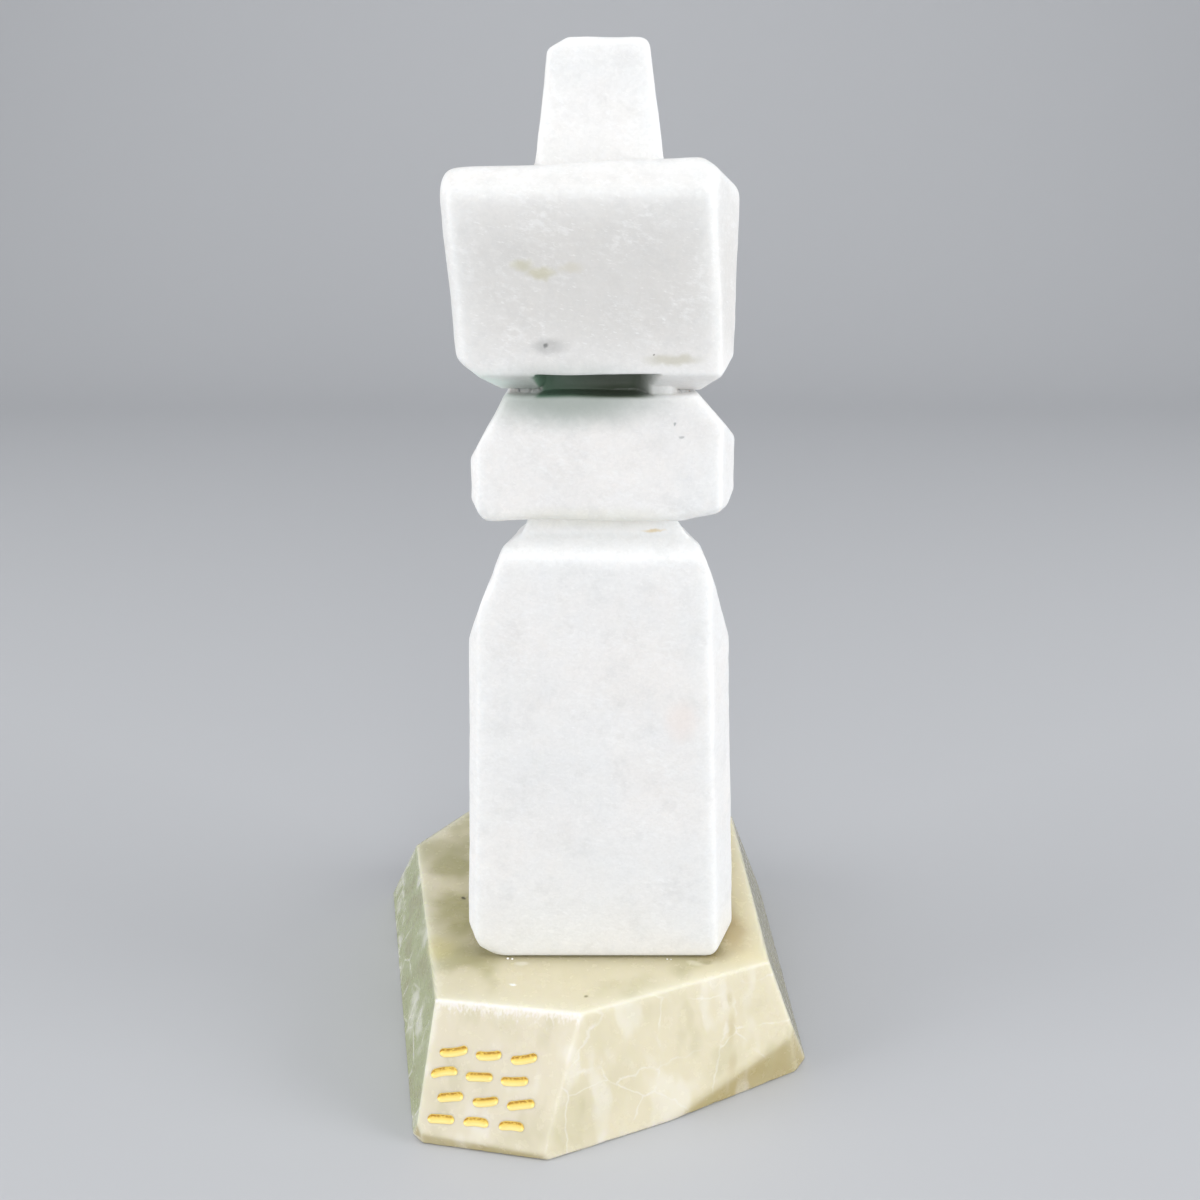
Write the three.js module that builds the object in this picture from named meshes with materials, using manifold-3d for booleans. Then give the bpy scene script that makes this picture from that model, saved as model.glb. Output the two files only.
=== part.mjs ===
// A small cairn figure: stones piled in the shape of a person, all carved from one block of white
// marble, on an angular base of pale green stone. Millimetres, +Z up, and the front looks along -Y.
import * as THREE from 'three';
import { ConvexGeometry } from 'three/addons/geometries/ConvexGeometry.js';
import { mergeVertices } from 'three/addons/utils/BufferGeometryUtils.js';
import Module from 'manifold-3d';

// Sizes of the base, and the radius that its ground edges are softened to
const BASE_WIDTH = 127.2;
const BASE_DEPTH = 127.5;
const BASE_HEIGHT = 33;
const BASE_EDGE = 0.8;

// Where the axis of the figure stands on the base, and the joint under its foot
const FIGURE_ASIDE = 6.7;
const FIGURE_AHEAD = -3.2;
const REST_GAP = 0.3;

// Sizes of the figure's stones and necks
const BODY_WIDTH = 70.8;
const BODY_DEPTH = 46.6;
const BODY_HEIGHT = 115.7;
const BODY_EDGE = 2.2;
const WAIST_WIDTH = 39.8;
const WAIST_DEPTH = 36.1;
const WAIST_HEIGHT = 4.3;
const MIDDLE_WIDTH = 61.1;
const MIDDLE_DEPTH = 43.4;
const MIDDLE_HEIGHT = 29.7;
const MIDDLE_EDGE = 2.2;
const COLLAR_WIDTH = 45.8;
const COLLAR_DEPTH = 35.2;
const COLLAR_HEIGHT = 0.8;
const UPPER_WIDTH = 63.1;
const UPPER_DEPTH = 51.8;
const UPPER_HEIGHT = 46.6;
const UPPER_EDGE = 3.6;
const HEAD_WIDTH = 28;
const HEAD_DEPTH = 26;
const HEAD_HEIGHT = 24.7;
const HEAD_EDGE = 1.6;
const NECK_EDGE = 0.8;

// How deep a neck and the head run into the stones that they join
const SINK = 2.5;

// Sizes of the rows of cut strokes on the front left face of the base
const STROKE_LENGTH = 6.8;
const STROKE_WIDTH = 2.2;
const STROKE_DEPTH = 0.9;
const STROKE_SLANT = 8;
const STROKE_PITCH = 9;
const STROKES_IN_ROW = 3;
const ROW_PITCH = 5.6;
const ROW_STAGGER = 2;
const ROWS = 4;

// The middle of the strokes, as shares of the base's width along the face and of its height
const STROKES_ASIDE = -0.114;
const STROKES_LEVEL = 0.44;

// Steps in the round of a softened edge, and sides of the round end of a stroke
const EDGE_STEPS = 3;
const STROKE_SIDES = 6;

// Each stone is shaped by flat faces. A face looks along its bearing, in degrees from +X, and leans
// back by its lean to look upward. It passes through the point that is its reach, a share of the way
// out to the stone's own box, and its level, a share of the stone's height.
const BASE_FACES = {
  left: { bearing: 192.6, lean: 14.2, reach: 0.684, level: 0 },
  frontLeft: { bearing: 261.9, lean: 26.3, reach: 0.902, level: 0 },
  frontRight: { bearing: 291.6, lean: 17.5, reach: 0.694, level: 0 },
  right: { bearing: 1.6, lean: 19.8, reach: 0.963, level: 0 },
  backRight: { bearing: 60, lean: 20, reach: 0.849, level: 0 },
  back: { bearing: 87.1, lean: 16.9, reach: 0.913, level: 0 },
  backLeft: { bearing: 144.8, lean: 34.8, reach: 0.887, level: 0 },
  lowFrontLeft: { bearing: 260.5, lean: 0, reach: 0.872, level: 0 },
  lowFrontRight: { bearing: 296, lean: 4, reach: 0.674, level: 0 },
  lowRight: { bearing: 325, lean: 8, reach: 0.78, level: 0 },
  lowLeft: { bearing: 225, lean: 0, reach: 0.757, level: 0 },
  top: { bearing: 0, lean: 90, reach: 0, level: 1 },
};
const BODY_FACES = {
  left: { bearing: 180, lean: 2.2, reach: 1, level: 0.07 },
  right: { bearing: 0, lean: 2.7, reach: 1, level: 0.07 },
  front: { bearing: 270, lean: 1.6, reach: 1, level: 0 },
  back: { bearing: 90, lean: 1.2, reach: 1, level: 0 },
  rightFrontCorner: { bearing: 338, lean: 3.2, reach: 0.806, level: 0.4 },
  leftFrontCorner: { bearing: 218, lean: 3, reach: 0.935, level: 0.23 },
  rightBackCorner: { bearing: 38, lean: 3, reach: 0.93, level: 0.2 },
  leftBackCorner: { bearing: 145, lean: 3, reach: 0.92, level: 0.2 },
  leftSlant: { bearing: 180, lean: 21.2, reach: 0.912, level: 0.782 },
  rightSlant: { bearing: 0, lean: 20, reach: 0.866, level: 0.788 },
  leftShoulder: { bearing: 180, lean: 52, reach: 0.659, level: 0.981 },
  rightShoulder: { bearing: 0, lean: 50, reach: 0.624, level: 0.99 },
  frontShoulder: { bearing: 270, lean: 45, reach: 0.867, level: 0.961 },
  backShoulder: { bearing: 90, lean: 45, reach: 0.9, level: 0.95 },
  leftFoot: { bearing: 190, lean: -36, reach: 0.985, level: 0.07 },
  rightFoot: { bearing: 350, lean: -36, reach: 0.97, level: 0.035 },
  top: { bearing: 0, lean: 90, reach: 0, level: 1 },
};
const WAIST_FACES = {
  left: { bearing: 180, lean: 20, reach: 0.995, level: 0.1 },
  right: { bearing: 0, lean: 32, reach: 0.99, level: 0.1 },
  front: { bearing: 270, lean: 18, reach: 0.967, level: 0.1 },
  back: { bearing: 90, lean: 15, reach: 0.95, level: 0.1 },
  leftFrontCorner: { bearing: 210, lean: 18, reach: 0.93, level: 0.1 },
  top: { bearing: 0, lean: 90, reach: 0, level: 1 },
};
const MIDDLE_FACES = {
  left: { bearing: 180, lean: 0, reach: 1, level: 0.2 },
  right: { bearing: 0, lean: 1, reach: 1, level: 0.3 },
  front: { bearing: 270, lean: 1.5, reach: 1, level: 0.07 },
  back: { bearing: 90, lean: 1.5, reach: 1, level: 0.07 },
  rightFrontCorner: { bearing: 340, lean: 2, reach: 0.894, level: 0.38 },
  leftFrontCorner: { bearing: 215, lean: 2, reach: 0.95, level: 0.4 },
  rightBackCorner: { bearing: 38, lean: 2, reach: 0.93, level: 0.4 },
  leftBackCorner: { bearing: 142, lean: 2, reach: 0.94, level: 0.4 },
  leftSlant: { bearing: 180, lean: 31.8, reach: 0.997, level: 0.483 },
  rightSlant: { bearing: 0, lean: 40, reach: 0.954, level: 0.63 },
  backSlant: { bearing: 90, lean: 40, reach: 0.93, level: 0.88 },
  leftLow: { bearing: 180, lean: -35, reach: 0.993, level: 0.14 },
  rightLow: { bearing: 0, lean: -37, reach: 0.99, level: 0.14 },
  top: { bearing: 0, lean: 90, reach: 0, level: 1 },
};
const COLLAR_FACES = {
  left: { bearing: 180, lean: 0, reach: 1, level: 0.5 },
  right: { bearing: 0, lean: 0, reach: 1, level: 0.5 },
  front: { bearing: 270, lean: 0, reach: 1, level: 0.5 },
  back: { bearing: 90, lean: 0, reach: 1, level: 0.5 },
  leftFrontCorner: { bearing: 207.5, lean: 0, reach: 0.764, level: 0.5 },
  rightFrontCorner: { bearing: 324, lean: 0, reach: 0.711, level: 0.5 },
  leftBackCorner: { bearing: 140, lean: 0, reach: 0.8, level: 0.5 },
  rightBackCorner: { bearing: 42, lean: 0, reach: 0.8, level: 0.5 },
  top: { bearing: 0, lean: 90, reach: 0, level: 1 },
};
const UPPER_FACES = {
  left: { bearing: 180, lean: -3.5, reach: 1, level: 0.82 },
  right: { bearing: 0, lean: -1, reach: 0.994, level: 0.83 },
  front: { bearing: 270, lean: -2.5, reach: 0.931, level: 0.1 },
  back: { bearing: 90, lean: -2, reach: 0.94, level: 0.1 },
  rightFrontCorner: { bearing: 337, lean: 3.2, reach: 0.83, level: 0.84 },
  leftFrontCorner: { bearing: 216, lean: -3, reach: 0.955, level: 0.8 },
  rightBackCorner: { bearing: 38, lean: -2, reach: 0.92, level: 0.6 },
  leftBackCorner: { bearing: 142, lean: -2, reach: 0.93, level: 0.6 },
  rightShoulder: { bearing: 0, lean: 55.7, reach: 0.978, level: 0.89 },
  frontShoulder: { bearing: 270, lean: 40, reach: 0.985, level: 0.88 },
  backShoulder: { bearing: 90, lean: 42, reach: 0.94, level: 0.9 },
  leftLow: { bearing: 180, lean: -50.5, reach: 0.933, level: 0.14 },
  rightLow: { bearing: 0, lean: -45, reach: 0.968, level: 0.15 },
  frontLow: { bearing: 270, lean: -69, reach: 0.931, level: 0.075 },
  backLow: { bearing: 90, lean: -62, reach: 0.93, level: 0.08 },
  top: { bearing: 180, lean: 87.6, reach: 0, level: 0.995 },
};
const HEAD_FACES = {
  left: { bearing: 180, lean: 7.2, reach: 0.99, level: 0 },
  right: { bearing: 0, lean: 7.9, reach: 0.985, level: 0.04 },
  front: { bearing: 270, lean: 7, reach: 0.985, level: 0 },
  back: { bearing: 90, lean: 6, reach: 0.985, level: 0 },
  leftFrontCorner: { bearing: 218, lean: 7, reach: 0.93, level: 0 },
  rightFrontCorner: { bearing: 318, lean: 7, reach: 0.95, level: 0 },
  leftCrown: { bearing: 180, lean: 62, reach: 0.66, level: 0.93 },
  top: { bearing: 180, lean: 87, reach: 0, level: 0.99 },
};

const BASE = { size: [BASE_WIDTH, BASE_DEPTH, BASE_HEIGHT], edge: BASE_EDGE, faces: BASE_FACES };

// The stones of the figure from the foot up. Aside and ahead are how far a stone stands off the
// figure's axis, as shares of its own width and depth. A sunk end runs into its neighbour.
const STONES = [
  { size: [BODY_WIDTH, BODY_DEPTH, BODY_HEIGHT], aside: 0.012, ahead: -0.045, edge: BODY_EDGE,
    faces: BODY_FACES },
  { size: [WAIST_WIDTH, WAIST_DEPTH, WAIST_HEIGHT], aside: 0.008, ahead: -0.043, edge: NECK_EDGE,
    faces: WAIST_FACES, sunkFoot: SINK, sunkTop: SINK },
  { size: [MIDDLE_WIDTH, MIDDLE_DEPTH, MIDDLE_HEIGHT], aside: 0.016, ahead: -0.039, edge: MIDDLE_EDGE,
    faces: MIDDLE_FACES },
  { size: [COLLAR_WIDTH, COLLAR_DEPTH, COLLAR_HEIGHT], aside: 0.007, ahead: -0.045, edge: NECK_EDGE,
    faces: COLLAR_FACES, sunkFoot: SINK, sunkTop: SINK },
  { size: [UPPER_WIDTH, UPPER_DEPTH, UPPER_HEIGHT], aside: -0.017, ahead: -0.056, edge: UPPER_EDGE,
    faces: UPPER_FACES },
  { size: [HEAD_WIDTH, HEAD_DEPTH, HEAD_HEIGHT], aside: -0.004, ahead: -0.008, edge: HEAD_EDGE,
    faces: HEAD_FACES, sunkFoot: SINK },
];

// The plane of one face: its outward normal and its distance from the stone's own origin
function facePlane([width, depth, height], { bearing, lean, reach, level }) {
  const turn = THREE.MathUtils.degToRad(bearing);
  const tip = THREE.MathUtils.degToRad(lean);
  const toBox = (Math.abs(Math.cos(turn)) * width + Math.abs(Math.sin(turn)) * depth) / 2;
  const normal = new THREE.Vector3(
    Math.cos(turn) * Math.cos(tip), Math.sin(turn) * Math.cos(tip), Math.sin(tip));
  const point = new THREE.Vector3(
    Math.cos(turn) * toBox * reach, Math.sin(turn) * toBox * reach, height * level);
  return { normal, distance: normal.dot(point) };
}

// The point that three planes share, or null where they don't meet in one point
function meetingPoint(a, b, c) {
  const nearlyParallel = 1e-4;
  const acrossBC = b.normal.clone().cross(c.normal);
  const acrossCA = c.normal.clone().cross(a.normal);
  const acrossAB = a.normal.clone().cross(b.normal);
  const volume = a.normal.dot(acrossBC);
  if (Math.abs(volume) < nearlyParallel) return null;
  return new THREE.Vector3()
    .addScaledVector(acrossBC, a.distance)
    .addScaledVector(acrossCA, b.distance)
    .addScaledVector(acrossAB, c.distance)
    .divideScalar(volume);
}

// The block that is left inside a set of planes, with its corners and edges rounded. The planes are
// drawn in by the radius, and round each corner between them goes the piece of a ball that spans
// its three faces.
function roundedBlock(planes, radius) {
  const slack = 1e-6;
  const inner = planes.map(({ normal, distance }) => ({ normal, distance: distance - radius }));
  const points = [];
  inner.forEach((a, i) => inner.slice(i + 1).forEach((b, j) => inner.slice(i + j + 2).forEach((c) => {
    const corner = meetingPoint(a, b, c);
    if (!corner || inner.some(({ normal, distance }) => normal.dot(corner) > distance + slack)) return;
    for (let u = 0; u <= EDGE_STEPS; u += 1) {
      for (let v = 0; u + v <= EDGE_STEPS; v += 1) {
        const outward = new THREE.Vector3()
          .addScaledVector(a.normal, u)
          .addScaledVector(b.normal, v)
          .addScaledVector(c.normal, EDGE_STEPS - u - v)
          .setLength(radius);
        points.push(corner.clone().add(outward));
      }
    }
  })));
  return new ConvexGeometry(points);
}

// One stone: the block inside its faces, the last of which is its top, and above its foot
function stone({ size, aside = 0, ahead = 0, edge, faces, sunkFoot = 0, sunkTop = 0 }) {
  const [width, depth, height] = size;
  const planes = Object.values(faces).map((face) => facePlane(size, face));
  planes.at(-1).distance += sunkTop;
  planes.push({ normal: new THREE.Vector3(0, 0, -1), distance: sunkFoot });
  return roundedBlock(planes, edge).translate(aside * width, ahead * depth, 0);
}

// A slot with round ends, cut below the face z = 0 and open above it
function strokeSlot() {
  const radius = STROKE_WIDTH / 2;
  const half = STROKE_LENGTH / 2 - radius;
  const outline = new THREE.Shape();
  outline.absarc(half, 0, radius, -Math.PI / 2, Math.PI / 2, false);
  outline.absarc(-half, 0, radius, Math.PI / 2, 3 * Math.PI / 2, false);
  return new THREE.ExtrudeGeometry(outline, {
    depth: 2 * STROKE_DEPTH, bevelEnabled: false, curveSegments: STROKE_SIDES,
  }).translate(0, 0, -STROKE_DEPTH);
}

// The strokes in their rows, laid out round the middle of the panel and set on the front left face
function strokes() {
  const { normal, distance } = facePlane(BASE.size, BASE_FACES.frontLeft);
  const along = new THREE.Vector3(-normal.y, normal.x, 0).normalize();
  const up = normal.clone().cross(along);
  const level = STROKES_LEVEL * BASE_HEIGHT;
  const middle = normal.clone().setZ(0)
    .multiplyScalar((distance - level * normal.z) / (1 - normal.z ** 2))
    .addScaledVector(along, STROKES_ASIDE * BASE_WIDTH)
    .setZ(level);
  const onFace = new THREE.Matrix4().makeBasis(along, up, normal).setPosition(middle);
  const slots = [];
  for (let row = 0; row < ROWS; row += 1) {
    const shift = (row % 2 ? 0.5 : -0.5) * ROW_STAGGER;
    for (let place = 0; place < STROKES_IN_ROW; place += 1) {
      const across = (place - (STROKES_IN_ROW - 1) / 2) * STROKE_PITCH + shift;
      slots.push(strokeSlot()
        .rotateZ(THREE.MathUtils.degToRad(STROKE_SLANT))
        .translate(across, (row - (ROWS - 1) / 2) * ROW_PITCH, 0)
        .applyMatrix4(onFace));
    }
  }
  return slots;
}

const wasm = await Module();
wasm.setup();

function toSolid(geometry) {
  geometry.deleteAttribute('normal');
  geometry.deleteAttribute('uv');
  const merged = mergeVertices(geometry);
  return new wasm.Manifold(new wasm.Mesh({
    numProp: 3,
    vertProperties: new Float32Array(merged.getAttribute('position').array),
    triVerts: new Uint32Array(merged.getIndex().array),
  }));
}

function toGeometry(solid) {
  const { vertProperties, triVerts } = solid.getMesh();
  const geometry = new THREE.BufferGeometry();
  geometry.setAttribute('position', new THREE.BufferAttribute(vertProperties, 3));
  geometry.setIndex(new THREE.BufferAttribute(triVerts, 1));
  geometry.computeVertexNormals();
  return geometry;
}

// The figure, on its own axis with its foot at z = 0
function figureGeometry() {
  let level = 0;
  let figure = null;
  STONES.forEach((shape) => {
    const next = toSolid(stone(shape).translate(0, 0, level));
    figure = figure ? figure.add(next) : next;
    level += shape.size[2];
  });
  return toGeometry(figure);
}

function baseGeometry() {
  return toGeometry(strokes().reduce((block, slot) => block.subtract(toSolid(slot)), toSolid(stone(BASE))));
}

const marbleFigure = new THREE.Mesh(
  figureGeometry(),
  new THREE.MeshStandardMaterial({ color: 0xeeedeb, roughness: 0.5, metalness: 0 }));
marbleFigure.name = 'marble_figure';
marbleFigure.position.set(FIGURE_ASIDE, FIGURE_AHEAD, BASE_HEIGHT + REST_GAP);

const stoneBase = new THREE.Mesh(
  baseGeometry(),
  new THREE.MeshStandardMaterial({ color: 0xd6d2b4, roughness: 0.3, metalness: 0 }));
stoneBase.name = 'stone_base';

// The part's origin is under the middle of its whole box
const sculpture = new THREE.Group();
sculpture.add(stoneBase, marbleFigure);
const middle = new THREE.Box3().setFromObject(sculpture, true).getCenter(new THREE.Vector3());
sculpture.position.set(-middle.x, -middle.y, 0);

export default sculpture;
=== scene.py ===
"""A small cairn figure in white marble on an angular base of pale green stone, lit as in a studio.

Sizes are in millimetres until a mesh is made, which is in metres. +Z is up and the front looks along -Y.
"""
import logging
import math
from dataclasses import dataclass, replace
from enum import Enum
from functools import cached_property
from typing import Callable, Sequence

import bpy
import numpy as np
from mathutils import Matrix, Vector


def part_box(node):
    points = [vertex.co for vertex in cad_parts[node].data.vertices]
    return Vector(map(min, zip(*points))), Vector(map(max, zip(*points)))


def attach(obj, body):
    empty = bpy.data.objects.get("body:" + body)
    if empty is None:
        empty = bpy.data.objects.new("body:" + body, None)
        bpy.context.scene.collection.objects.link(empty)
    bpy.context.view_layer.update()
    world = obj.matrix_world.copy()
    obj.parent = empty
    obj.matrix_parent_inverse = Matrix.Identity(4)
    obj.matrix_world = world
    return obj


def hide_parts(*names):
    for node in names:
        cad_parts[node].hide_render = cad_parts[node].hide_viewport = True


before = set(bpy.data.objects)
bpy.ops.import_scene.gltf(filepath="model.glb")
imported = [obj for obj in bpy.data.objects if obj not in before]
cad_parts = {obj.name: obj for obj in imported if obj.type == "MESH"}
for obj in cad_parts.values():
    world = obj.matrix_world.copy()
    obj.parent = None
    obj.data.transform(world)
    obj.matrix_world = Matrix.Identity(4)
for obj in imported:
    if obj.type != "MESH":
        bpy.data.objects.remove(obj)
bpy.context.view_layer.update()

MM = 0.001
TINY = 1e-6

Array = np.ndarray
Field = tuple[Array, Array]
Mesh = tuple[Array, list[list[int]]]
Triple = tuple[float, float, float]
Shares = Callable[[Array], Array]
Material = bpy.types.Material
Socket = bpy.types.NodeSocket
Value = float | Sequence[float] | Socket

UP = np.array([0.0, 0.0, 1.0])

log = logging.getLogger("sculpture")


# Shapes: rounded blocks, the pile that they make, and the skin over it

def rounded_max(a: Array, slope_a: Array, b: Array, slope_b: Array, radius: float) -> Field:
    """The larger of two distances, with a round of one radius where they meet.

    Formula: k = 4 r (1 - cos(turn / 2)), where turn is the angle between the slopes, and less past 90
    degrees, down to 0 for walls that face each other. Where the two differ by less than k, the larger is
    raised by k h^2 / 4, with h = 1 - |a - b| / k.

    Args:
        a, b: the distances at each point.
        slope_a, slope_b: their gradients.
        radius: radius of the round.

    Returns:
        The joined distance and its gradient.
    """
    lengths = np.linalg.norm(slope_a, axis=-1) * np.linalg.norm(slope_b, axis=-1)
    cosine = np.clip((slope_a * slope_b).sum(-1) / np.maximum(lengths, TINY), -1, 1)
    reach = 4 * radius * (1 - np.sqrt((1 + cosine) / 2)) * np.minimum(1 + cosine, 1)
    reach = np.maximum(reach, TINY)
    near = np.clip(1 - np.abs(a - b) / reach, 0, 1)
    share_b = np.where(b > a, 1 - near / 2, near / 2)[..., None]
    return np.maximum(a, b) + reach * near ** 2 / 4, (1 - share_b) * slope_a + share_b * slope_b


def rounded_min(a: Array, slope_a: Array, b: Array, slope_b: Array, radius: float) -> Field:
    """The smaller of two distances, with a fillet: the mirror image of rounded_max."""
    value, slope = rounded_max(-a, -slope_a, -b, -slope_b, radius)
    return -value, -slope


@dataclass(frozen=True)
class Waves:
    """Soft unevenness: the mean of plane waves in many directions, from -1 to 1 and mostly small.

    Formula: mean over j of sin(k_j . p + phase_j), where every k_j is about 2 pi / length long.
    """

    length: float
    seed: int
    count: int = 14

    @cached_property
    def parts(self) -> Field:
        """The wave vectors and the phases."""
        draw = np.random.default_rng(self.seed)
        ways = draw.normal(size=(self.count, 3))
        ways /= np.linalg.norm(ways, axis=1, keepdims=True)
        lengths = self.length * draw.uniform(0.7, 1.6, self.count)
        return ways * (2 * math.pi / lengths)[:, None], draw.uniform(0, 2 * math.pi, self.count)

    def __call__(self, points: Array) -> Array:
        """The height of the waves at each point."""
        return sum(np.sin(points @ vector + phase) for vector, phase in zip(*self.parts)) / self.count


def soft_step(values: Array, start: float, stop: float) -> Array:
    """A soft step from 0 at the start to 1 at the stop: t t (3 - 2 t), with t even between them."""
    t = np.clip((values - start) / (stop - start), 0, 1)
    return t * t * (3 - 2 * t)


@dataclass(frozen=True)
class Face:
    """A flat face of a block.

    It looks along its bearing, in degrees from +X, and leans back by its lean. It passes through the point
    at its reach, a share of the way out to the block's box, and its level, a share of the block's height.
    Its edges are rounded as the block's are, unless it has a radius of its own.
    """

    bearing: float
    lean: float
    reach: float
    level: float
    edge: float | None = None


def faces(top: tuple[float, ...] = (0, 90, 0, 1), **sides: tuple[float, ...]) -> dict[str, Face]:
    """A block's faces by name, with the top as the last."""
    return {name: Face(*row) for name, row in {**sides, "top": top}.items()}


@dataclass(frozen=True)
class Recess:
    """A slot ground into a pile from the front, with round ends and a flat ceiling.

    It is all that lies ahead of its back, under its ceiling and between its ends, which flare to the front.
    Its mouth is the place of the ceiling's front edge along Y and of the slot's floor along Z, and the
    ceiling hangs over the floor's front edge. Each end has a flare of its own, in degrees.
    """

    low: float
    high: float
    back: float
    ceiling: float
    mouth: tuple[float, float]
    overhang: float = 3.6
    flares: tuple[float, float] = (12.0, 26.0)
    corner: float = 3.0
    lip: float = 0.35
    nose: float = 1.6

    LIP_DROPS = (1.6, 0.4)
    SHADE_OUTSIDE = (0.9, 0.3)
    SHADE_DEPTHS = (0.05, 1.3)

    def field(self, points: Array) -> Field:
        """How far each point is outside the recess, and the gradient of that."""
        value, slope = points[..., 1] - self.back, np.broadcast_to([0.0, 1.0, 0.0], points.shape)
        for side, end, turn in ((-1, -self.low, self.flares[0]), (1, self.high, self.flares[1])):
            flare = math.radians(turn)
            normal = np.array([side * math.cos(flare), math.sin(flare), 0.0])
            away = points @ normal - end * math.cos(flare) - self.mouth[0] * math.sin(flare)
            value, slope = rounded_max(value, slope, away, normal, self.corner)
        return rounded_max(value, slope, points[..., 2] - self.ceiling, UP, self.nose / 2)

    def ground_out(self, points: Array, value: Array, slope: Array) -> Field:
        """Takes the recess out of a solid, with a crisp lip and rounder ends."""
        hollow, lean = self.field(points)
        start, stop = (self.ceiling - drop for drop in self.LIP_DROPS)
        lip = self.nose + (self.lip - self.nose) * soft_step(points[..., 2], start, stop)
        return rounded_max(value, slope, -hollow, -lean, lip)

    def shade(self, points: Array) -> Array:
        """How far each point lies behind the mouth, from 0 to 1, and 0 beside or above it."""
        outside = self.field(points)[0]
        ahead, foot = self.mouth
        tilt = math.atan2(self.ceiling - foot, self.overhang)
        depth = (points[..., 1] - ahead) * math.sin(tilt) + (points[..., 2] - self.ceiling) * math.cos(tilt)
        return soft_step(outside, *self.SHADE_OUTSIDE) * soft_step(depth, *self.SHADE_DEPTHS)


@dataclass(frozen=True)
class Block:
    """A stone inside flat faces, the last of which is its top, and above its foot."""

    size: Triple
    faces: dict[str, Face]
    edge: float
    foot_edge: float = 1.2
    fillet: float = 0.7
    aside: float = 0.0
    ahead: float = 0.0
    foot: float = 0.0
    sunk_foot: float = 0.0
    sunk_top: float = 0.0
    cut: Shares | None = None
    recess: Recess | None = None

    FLAT = 80.0
    RAY_STEPS = 48
    RIM_WEIGHT = 4.0
    LEAST_SQUARE = 1e-4
    GRAZING = 1e-3
    LEAST_RADIUS = 0.5

    @property
    def top(self) -> float:
        """The level of the block's top."""
        return self.foot + self.size[2]

    @cached_property
    def planes(self) -> Field:
        """The outward normal and the distance from the axis' foot of every face."""
        width, depth, height = self.size
        rows = np.array([(f.bearing, f.lean, f.reach, f.level) for f in self.faces.values()]).T
        turn, tip = np.radians(rows[0]), np.radians(rows[1])
        normals = np.stack([np.cos(turn) * np.cos(tip), np.sin(turn) * np.cos(tip), np.sin(tip)], axis=1)
        to_box = (np.abs(np.cos(turn)) * width + np.abs(np.sin(turn)) * depth) / 2 * rows[2]
        points = np.stack([np.cos(turn) * to_box + self.aside * width,
                           np.sin(turn) * to_box + self.ahead * depth,
                           self.foot + height * rows[3]], axis=1)
        distances = (normals * points).sum(1)
        distances[-1] += self.sunk_top
        return normals, distances

    def field(self, points: Array) -> Field:
        """How far each point is outside the block, below 0 inside it, and the gradient of that."""
        normals, distances = self.planes
        edges = [face.edge or self.edge for face in self.faces.values()]
        value, slope = points @ normals[0] - distances[0], np.broadcast_to(normals[0], points.shape)
        for normal, distance, edge in zip(normals[1:], distances[1:], edges[1:]):
            value, slope = rounded_max(value, slope, points @ normal - distance, normal, edge)
        floor = self.foot - self.sunk_foot - points[..., 2]
        value, slope = rounded_max(value, slope, floor, -UP, self.foot_edge)
        if self.cut:
            value = value + self.cut(points)
        if self.recess:
            value, slope = self.recess.ground_out(points, value, slope)
        return value, slope

    def rim(self, points: Array, width: float) -> Array:
        """How near each point of the surface is to a strong edge, from 0 to 1, in a band of this width.

        Formula: the largest over the other faces of w exp(-d / width), where d is the distance along the
        point's own face to where it meets the other, and w grows from 0 to 1 as they turn by 41 degrees.
        """
        normals, distances = self.planes
        away = points @ normals.T - distances
        gap = away.max(-1)[..., None] - away
        cosine = np.clip(normals @ normals.T, -1, 1)[away.argmax(-1)]
        sine = np.sqrt(np.maximum(1 - cosine ** 2, self.LEAST_SQUARE))
        weight = np.clip((1 - cosine) * self.RIM_WEIGHT, 0, 1)
        return (weight * np.exp(-gap / sine / width)).max(-1)

    def face_share(self, points: Array, names: Sequence[str], soft: float = 0.5) -> Array:
        """How far each point belongs to the named faces, from 0 to 1, with soft edges."""
        normals, distances = self.planes
        away = points @ normals.T - distances
        chosen = np.array([name in names for name in self.faces])
        lead = away[..., chosen].max(-1) - away[..., ~chosen].max(-1)
        return soft_step(lead, -soft, soft)

    def drawn_in(self, grid: Array) -> Array:
        """Draws the points in the recess back along their rays, to where these leave it."""
        points = grid.reshape(-1, 3).copy()
        open_points = np.flatnonzero(self.recess.field(points)[0] < 0)
        start = points[open_points]
        for share in np.linspace(1, 0, self.RAY_STEPS)[1:]:
            trial = start * [share, share, 1]
            points[open_points] = trial
            still = self.recess.field(trial)[0] < 0
            open_points, start = open_points[still], start[still]
        return points.reshape(grid.shape)

    def section(self, ways: Array, levels: Array) -> Array:
        """Where rays from the axis leave the sharp block: the nearest of its faces, at each level.

        Args:
            ways: unit vectors in plan, one for each column.
            levels: heights, one for each ring.

        Returns:
            Points on a grid of levels by ways.
        """
        normals, distances = self.planes
        upright = np.abs(normals[:, 2]) < math.sin(math.radians(self.FLAT))
        toward = ways @ normals[upright, :2].T
        left = distances[upright] - np.outer(levels, normals[upright, 2])
        ahead = toward > self.GRAZING
        met = np.where(ahead, left[:, None, :] / np.where(ahead, toward, 1), np.inf)
        radius = np.maximum(met.min(-1), self.LEAST_RADIUS)
        grid = np.empty((len(levels), len(ways), 3))
        grid[..., :2] = radius[..., None] * ways
        grid[..., 2] = levels[:, None]
        for normal, distance in zip(normals[~upright], distances[~upright]):
            limit = (distance - grid[..., :2] @ normal[:2]) / normal[2]
            grid[..., 2] = np.minimum(grid[..., 2], limit)
        if self.cut:
            grid[..., :2] -= self.cut(grid)[..., None] * ways
        return self.drawn_in(grid) if self.recess else grid


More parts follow.
